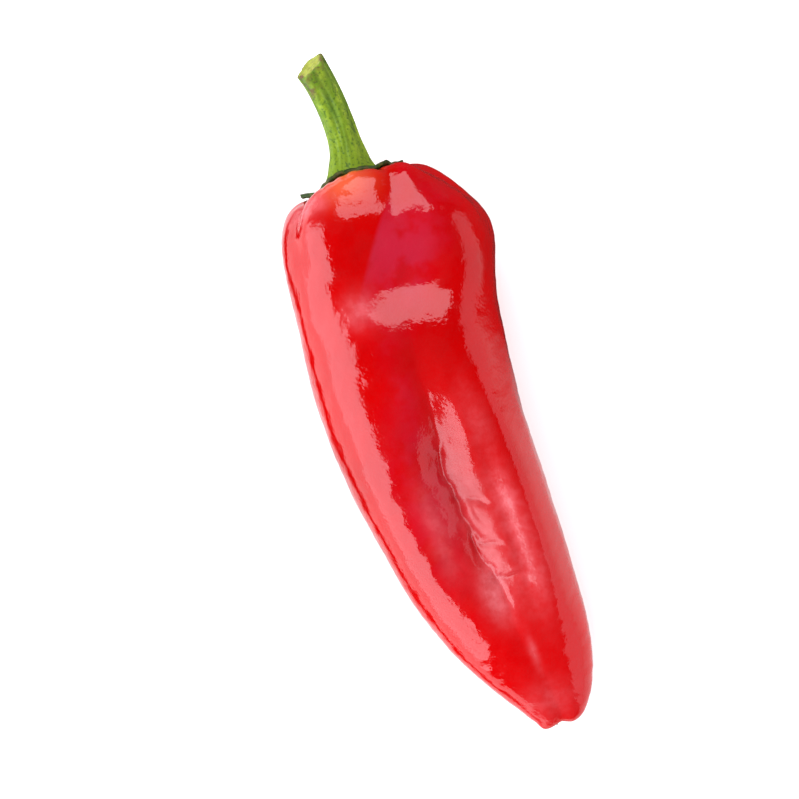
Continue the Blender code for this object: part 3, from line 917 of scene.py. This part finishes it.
def stalk_finish(settings):
    finish = Finish("Green Stalk", settings.groove_green)
    finish.set(Metallic=0.0, IOR=1.4, Specular_IOR_Level=0.3)
    finish.layer(finish.painted("streak"), settings.rib_green)
    finish.layer(finish.mottle(scale=520.0, low=0.3, high=0.7), settings.green)
    finish.layer(finish.painted("base"), settings.base_green)
    specks = finish.mottle(scale=1100.0, low=0.52, high=0.68)
    finish.layer(finish.times(specks, STALK_FLECKS), settings.groove_green)
    finish.layer(finish.painted("calyx"), settings.calyx_green)
    # Painted highlights: paler green spots on the calyx, standing in for light on its folds.
    folds = finish.times(finish.painted("calyx"), finish.mottle(scale=420.0, low=0.5, high=0.75))
    finish.layer(finish.times(folds, CALYX_LIT_FOLDS), settings.green)
    finish.layer(finish.painted("cut"), settings.cut_colour)
    veins = finish.times(finish.painted("cut"), finish.mottle(scale=900.0, low=0.45, high=0.75))
    finish.layer(finish.times(veins, PITH_VEINS), settings.green)
    crumbs = finish.mottle(scale=620.0, low=0.42, high=0.62)
    finish.layer(finish.times(finish.painted("dry"), crumbs), settings.dry_brown)
    finish.link(finish.ramp(finish.mottle(scale=300.0), low=0.45, high=0.68), "Roughness")
    finish.bump(finish.grain(scale=1600.0, cells=0.6), STALK_GRAIN_DEPTH)
    return finish.material


def scar_finish(settings):
    finish = Finish("Dry Flower Scar", settings.brown)
    finish.set(Metallic=0.0, Roughness=0.85)
    finish.layer(finish.mottle(scale=1300.0), settings.green)
    finish.bump(finish.grain(scale=3000.0, cells=0.5), SCAR_GRAIN_DEPTH)
    return finish.material


def left_side_distance(finish, place):
    """How far the floor lies from the pepper's left side, which is nearly a parabola."""
    squared = finish.times(place.outputs["X"], place.outputs["X"])
    outline = finish.math("ADD", finish.times(squared, LEFT_SIDE_BEND), LEFT_SIDE)
    return finish.math("SUBTRACT", outline, place.outputs["Y"])


def floor_finish(settings):
    """The pale floor, whose mirror image in the skin is dimmed by a share for each side."""
    finish = Finish("Pale Floor", settings.floor_colour)
    finish.set(Roughness=0.9, IOR=1.2)
    place = finish.tree.nodes.new("ShaderNodeTexCoord")
    split = finish.tree.nodes.new("ShaderNodeSeparateXYZ")
    finish.tree.links.new(place.outputs["Object"], split.inputs["Vector"])
    right = finish.ramp(split.outputs["Y"], 0.0, 1.0, -FLOOR_IMAGE_BLEND, FLOOR_IMAGE_BLEND)
    ends = HIGH_RIGHT_ENDS - FLOOR_IMAGE_BLEND, HIGH_RIGHT_ENDS + FLOOR_IMAGE_BLEND
    lengthwise = finish.ramp(split.outputs["X"], HIGH_RIGHT_DIMMING, LOW_RIGHT_DIMMING, *ends)
    on_right = finish.times(right, lengthwise)
    from_side = left_side_distance(finish, split)
    shaded = finish.ramp(from_side, 1.0, 0.0, LEFT_SHADE_TO, LEFT_SHADE_TO + LEFT_SHADE_BLEND)
    nearer = LEFT_SHADE_FROM - LEFT_SHADE_BLEND, LEFT_SHADE_FROM
    beside = finish.ramp(from_side, LEFT_NEAR_DIMMING, LEFT_DIMMING, *nearer)
    leftward = finish.math("SUBTRACT", 1.0, right)
    on_left = finish.times(finish.times(shaded, beside), leftward)
    dimming = finish.math("ADD", on_right, on_left)
    mirrored = finish.tree.nodes.new("ShaderNodeLightPath").outputs["Is Glossy Ray"]
    finish.layer(finish.times(mirrored, dimming), BLACK)
    return finish.material


def fruit_masks(along, angle):
    """Masks from 0 to 1: crumple, painted highlights, gold, painted sheen, dry pit, painted light.
    """
    points, reach = plain_skin(along, angle)
    _, front_side = furrow_relief(points, along, angle, reach)
    upper = np.sin(angle) > 0
    # A ring of gold and painted highlight along the crest round the calyx, and gold on the front
    # lobe.
    gold_and_crest_highlight = GOLD_AND_HIGHLIGHT_RING_STRENGTH * bell(along - GOLD_AND_HIGHLIGHT_RING_AT, GOLD_AND_HIGHLIGHT_RING_HALF_WIDTH)
    gold_and_crest_highlight += skin_patch(along, angle, reach, *GOLD_LOBE)
    # Painted sheen to the right of the fold line, on the furrow's left bank and above the furrow.
    right, lengthwise = fold_line_distances(points)
    onset = np.clip(right / PAINTED_SHEEN_EDGE + 0.5, 0, 1)
    faded = bell(np.maximum(right - PAINTED_SHEEN_BREADTH, 0), PAINTED_SHEEN_FADE)
    painted_sheen = onset * faded * bell(lengthwise, PAINTED_SHEEN_HALF_LENGTH)
    painted_sheen += furrow_patch(along, front_side, *LEFT_BANK_PAINTED_SHEEN)
    painted_sheen += patch(points, *UPPER_PAINTED_SHEEN)
    masks = {
        # The crumpled skin, whose pale colour is partly scuffing and partly a painted highlight.
        "crumple": furrow_patch(along, front_side, *CRUMPLE_SCUFF_AND_HIGHLIGHT),
        # Painted highlights: pale patches of the upper side.
        "pale": sum(patch(points, *place) for place in PAINTED_HIGHLIGHT_PATCHES) * upper,
        "gold_and_crest_highlight": gold_and_crest_highlight,
        "painted_sheen": painted_sheen * upper,
        "pit": PIT_DRYNESS * bell(SKIN_LENGTH - along, PIT_HALF_WIDTH),
        # Painted light: how much lighter the skin is painted towards the tip.
        "tip": (points[..., 0] - PAINTED_LIGHT_FROM) / PAINTED_LIGHT_LENGTH,
    }
    return {name: np.clip(mask, 0, 1) for name, mask in masks.items()}


def stalk_masks(row, turn, rows):
    """Where the stalk piece is streaked, yellower, calyx, cut face and dry, from 0 to 1."""
    rim, top_of_calyx, end_of_side, _ = stalk_rows(rows)
    share = np.clip((row - top_of_calyx) / (end_of_side - top_of_calyx), 0, 1)
    inset = np.clip((row - end_of_side) / (rows - end_of_side), 0, 1)
    ribs = 0.5 + 0.5 * np.cos(STALK_RIBS * turn + STALK_RIB_TWIST * share)
    uneven = waves(bark(share, turn, STALK_RADIUS), STREAK_LENGTH, BARK_SEED + 3)
    calyx = np.clip((top_of_calyx - row) / (CALYX_EDGE * rows) + 0.5, 0, 1)
    cut = np.clip((inset - CUT_EDGE_AT) / CUT_EDGE, 0, 1)
    brown_side = bell(angle_between(turn, math.radians(BROWN_PATCH_TURN)), BROWN_PATCH_HALF_TURN)
    dry = BROWN_PATCH * bell(share - BROWN_PATCH_AT, BROWN_PATCH_HALF_LENGTH) * brown_side
    dry += DRY_END * bell(1 - share, DRY_END_LENGTH) * (1 - cut)
    dry += DRY_RIM * bell((row - rim) / rows, DRY_RIM_HALF_WIDTH)
    dry += DRY_CUT_EDGE * bell(inset - CUT_EDGE_AT, CUT_EDGE) * (inset > 0)
    masks = {
        "streak": STREAK_ON_RIBS * ribs + STREAK_LEAST + STREAK_UNEVENNESS * uneven,
        "base": bell(share, BASE_HALF_LENGTH) * (1 - calyx),
        "calyx": calyx,
        "cut": cut,
        "dry": dry + DRY_PITH * cut,
    }
    return {name: np.clip(mask, 0, 1) for name, mask in masks.items()}


class PEPPER_OT_fruit(bpy.types.Operator):
    """Build the fruit's glossy skin over its solid"""

    bl_idname = "pepper.fruit"
    bl_label = "Fruit"

    def execute(self, context):
        settings = context.scene.pepper_skin
        piece, row, turn = rounded_cage(
            "fruit_skin", settings.columns, settings.rows,
            lambda *place: fruit_skin(*fruit_place(*place)),
        )
        paint(piece, fruit_masks(*fruit_place(row, turn, settings.rows)))
        piece.data.materials.append(skin_finish(settings))
        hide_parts("fruit")
        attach(piece, "root")
        return {"FINISHED"}


class PEPPER_OT_stalk(bpy.types.Operator):
    """Build the ribbed stalk and the calyx that it widens into"""

    bl_idname = "pepper.stalk"
    bl_label = "Stalk and Calyx"

    def execute(self, context):
        settings = context.scene.pepper_stalk
        rows = settings.rows
        piece, row, turn = rounded_cage(
            "stalk_and_calyx", settings.columns, rows, stalk_and_calyx_point
        )
        paint(piece, stalk_masks(row, turn, rows))
        piece.data.materials.append(stalk_finish(settings))
        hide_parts("stalk_with_calyx")
        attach(piece, "root")
        return {"FINISHED"}


class PEPPER_OT_scar(bpy.types.Operator):
    """Build the dry flower scar in the pit at the tip"""

    bl_idname = "pepper.scar"
    bl_label = "Flower Scar"

    def execute(self, context):
        pit = fruit_skin(np.array([SKIN_LENGTH]), np.array([0.0]))[0]

        def place(row, turn, rows):
            share = row / rows
            radius = SCAR_RADIUS * np.sin(math.pi * share) * (1 - SCAR_TAPER * share)
            x = SCAR_LENGTH * (share - SCAR_SUNK)
            points = pit + np.stack([x, radius * np.cos(turn), radius * np.sin(turn)], axis=-1)
            return points + waves(points, SCAR_LUMP_LENGTH, SCAR_SEED)[:, None] * SCAR_LUMPS

        piece, _, _ = rounded_cage("flower_scar", SCAR_COLUMNS, SCAR_ROWS, place)
        piece.data.materials.append(scar_finish(context.scene.pepper_scar))
        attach(piece, "root")
        return {"FINISHED"}


# The camera looks straight down, turned so that the stalk points up and left in the picture.
CAMERA_TURN = math.radians(69.75)
CAMERA_OVER = (-0.00289, -0.00946)
CAMERA_LENS = 100.0

FLOOR_SIZE = 12.0

# How much the floor's mirror image in the skin is dimmed. Left of the pepper in the picture
# that goes by the distance from its left side: a little near it, more in a band further out,
# and nothing past the band.
LEFT_SIDE = -0.033  # the side's y in the middle of its length
LEFT_SIDE_BEND = 2.2  # how much its y grows with the square of x, per metre
LEFT_NEAR_DIMMING = 0.3
LEFT_DIMMING = 1.0
LEFT_SHADE_FROM = 0.026
LEFT_SHADE_TO = 0.044
LEFT_SHADE_BLEND = 0.005

# Right of the pepper it goes by x: more along the stalk's half, which ends at this x.
LOW_RIGHT_DIMMING = 0.35
HIGH_RIGHT_DIMMING = 0.97
HIGH_RIGHT_ENDS = 0.007
FLOOR_IMAGE_BLEND = 0.015
BLACK = (0.0, 0.0, 0.0)

# The light panels: name, shape, where each stands as seen in the picture (0 is right and 90 is up),
# how far it leans from overhead, its breadth and height in metres, and its colour.
PANEL_DISTANCE = 0.9
PANELS = (
    ("left_panel", "RECTANGLE", 204.5, 67.0, 1.65, 0.74, (4.2, 4.3, 4.7)),
    ("right_panel", "RECTANGLE", -2.0, 74.0, 1.5, 0.50, (1.5, 1.0, 1.1)),
    ("stem_panel", "ELLIPSE", 90.0, 48.0, 0.95, 0.56, (3.0, 2.8, 3.0)),
)
PANEL_AIM = Vector((0.0, 0.0, 0.02))


def add_panel(scene, name, shape, towards, lean, breadth, height, colour, brightness):
    """A flat light that faces the pepper."""
    turn = math.radians(towards) + CAMERA_TURN
    lean = math.radians(lean)
    out = math.sin(lean)
    back = Vector((out * math.cos(turn), out * math.sin(turn), math.cos(lean)))
    side = Vector((-math.sin(turn), math.cos(turn), 0.0))
    light = bpy.data.lights.new(name, "AREA")
    light.shape = shape
    light.size = breadth
    light.size_y = height
    light.color = [channel / max(colour) for channel in colour]
    light.energy = max(colour) * brightness * math.pi * breadth * height
    panel = bpy.data.objects.new(name, light)
    panel.matrix_world = Matrix.Translation(PANEL_AIM + back * PANEL_DISTANCE) @ Matrix(
        (side, back.cross(side), back)
    ).transposed().to_4x4()
    panel.visible_camera = False
    scene.collection.objects.link(panel)


def light_room(scene, fill):
    """An even fill for the floor and the skin, which the glossy skin doesn't mirror."""
    world = bpy.data.worlds.new("room")
    world.use_nodes = True
    world.node_tree.nodes["Background"].inputs["Color"].default_value = (fill, fill, fill, 1.0)
    world.cycles_visibility.glossy = False
    scene.world = world


class PEPPER_OT_stage(bpy.types.Operator):
    """Lay the floor, set up the light panels and place the camera"""

    bl_idname = "pepper.stage"
    bl_label = "Stage"

    def execute(self, context):
        scene = context.scene
        settings = scene.pepper_stage
        grid = bmesh.new()
        bmesh.ops.create_grid(grid, x_segments=1, y_segments=1, size=FLOOR_SIZE / 2)
        mesh = bpy.data.meshes.new("floor")
        grid.to_mesh(mesh)
        grid.free()
        floor = bpy.data.objects.new("floor", mesh)
        scene.collection.objects.link(floor)
        mesh.materials.append(floor_finish(settings))
        for panel in PANELS:
            add_panel(scene, *panel, settings.panel_brightness)
        light_room(scene, settings.fill)
        camera = bpy.data.objects.new("camera", bpy.data.cameras.new("camera"))
        camera.data.lens = CAMERA_LENS
        camera.location = (*CAMERA_OVER, settings.camera_height)
        camera.rotation_euler = (0.0, 0.0, CAMERA_TURN)
        scene.collection.objects.link(camera)
        scene.camera = camera
        scene.view_settings.view_transform = "Standard"
        return {"FINISHED"}


class PEPPER_PT_build(bpy.types.Panel):
    """Lists the pepper's pieces and their settings"""

    bl_label = "Pepper"
    bl_idname = "PEPPER_PT_build"
    bl_space_type = "VIEW_3D"
    bl_region_type = "UI"
    bl_category = "Pepper"

    def draw(self, context):
        for operator, holder in STEPS:
            column = self.layout.column(align=True)
            column.operator(operator.bl_idname)
            settings = getattr(context.scene, holder)
            for name in settings.__annotations__:
                column.prop(settings, name)


STEPS = (
    (PEPPER_OT_fruit, "pepper_skin"),
    (PEPPER_OT_stalk, "pepper_stalk"),
    (PEPPER_OT_scar, "pepper_scar"),
    (PEPPER_OT_stage, "pepper_stage"),
)
SETTINGS = {
    "pepper_skin": PepperSkinSettings,
    "pepper_stalk": PepperStalkSettings,
    "pepper_scar": PepperScarSettings,
    "pepper_stage": PepperStageSettings,
}


def register():
    for holder, kind in SETTINGS.items():
        bpy.utils.register_class(kind)
        setattr(bpy.types.Scene, holder, PointerProperty(type=kind))
    for operator, _ in STEPS:
        bpy.utils.register_class(operator)
    bpy.utils.register_class(PEPPER_PT_build)


def unregister():
    bpy.utils.unregister_class(PEPPER_PT_build)
    for operator, _ in reversed(STEPS):
        bpy.utils.unregister_class(operator)
    for holder, kind in reversed(SETTINGS.items()):
        delattr(bpy.types.Scene, holder)
        bpy.utils.unregister_class(kind)


def main():
    register()
    mottle_group()
    grain_group()
    bpy.ops.pepper.fruit()
    bpy.ops.pepper.stalk()
    bpy.ops.pepper.scar()
    bpy.ops.pepper.stage()


if __name__ == "__main__":
    main()
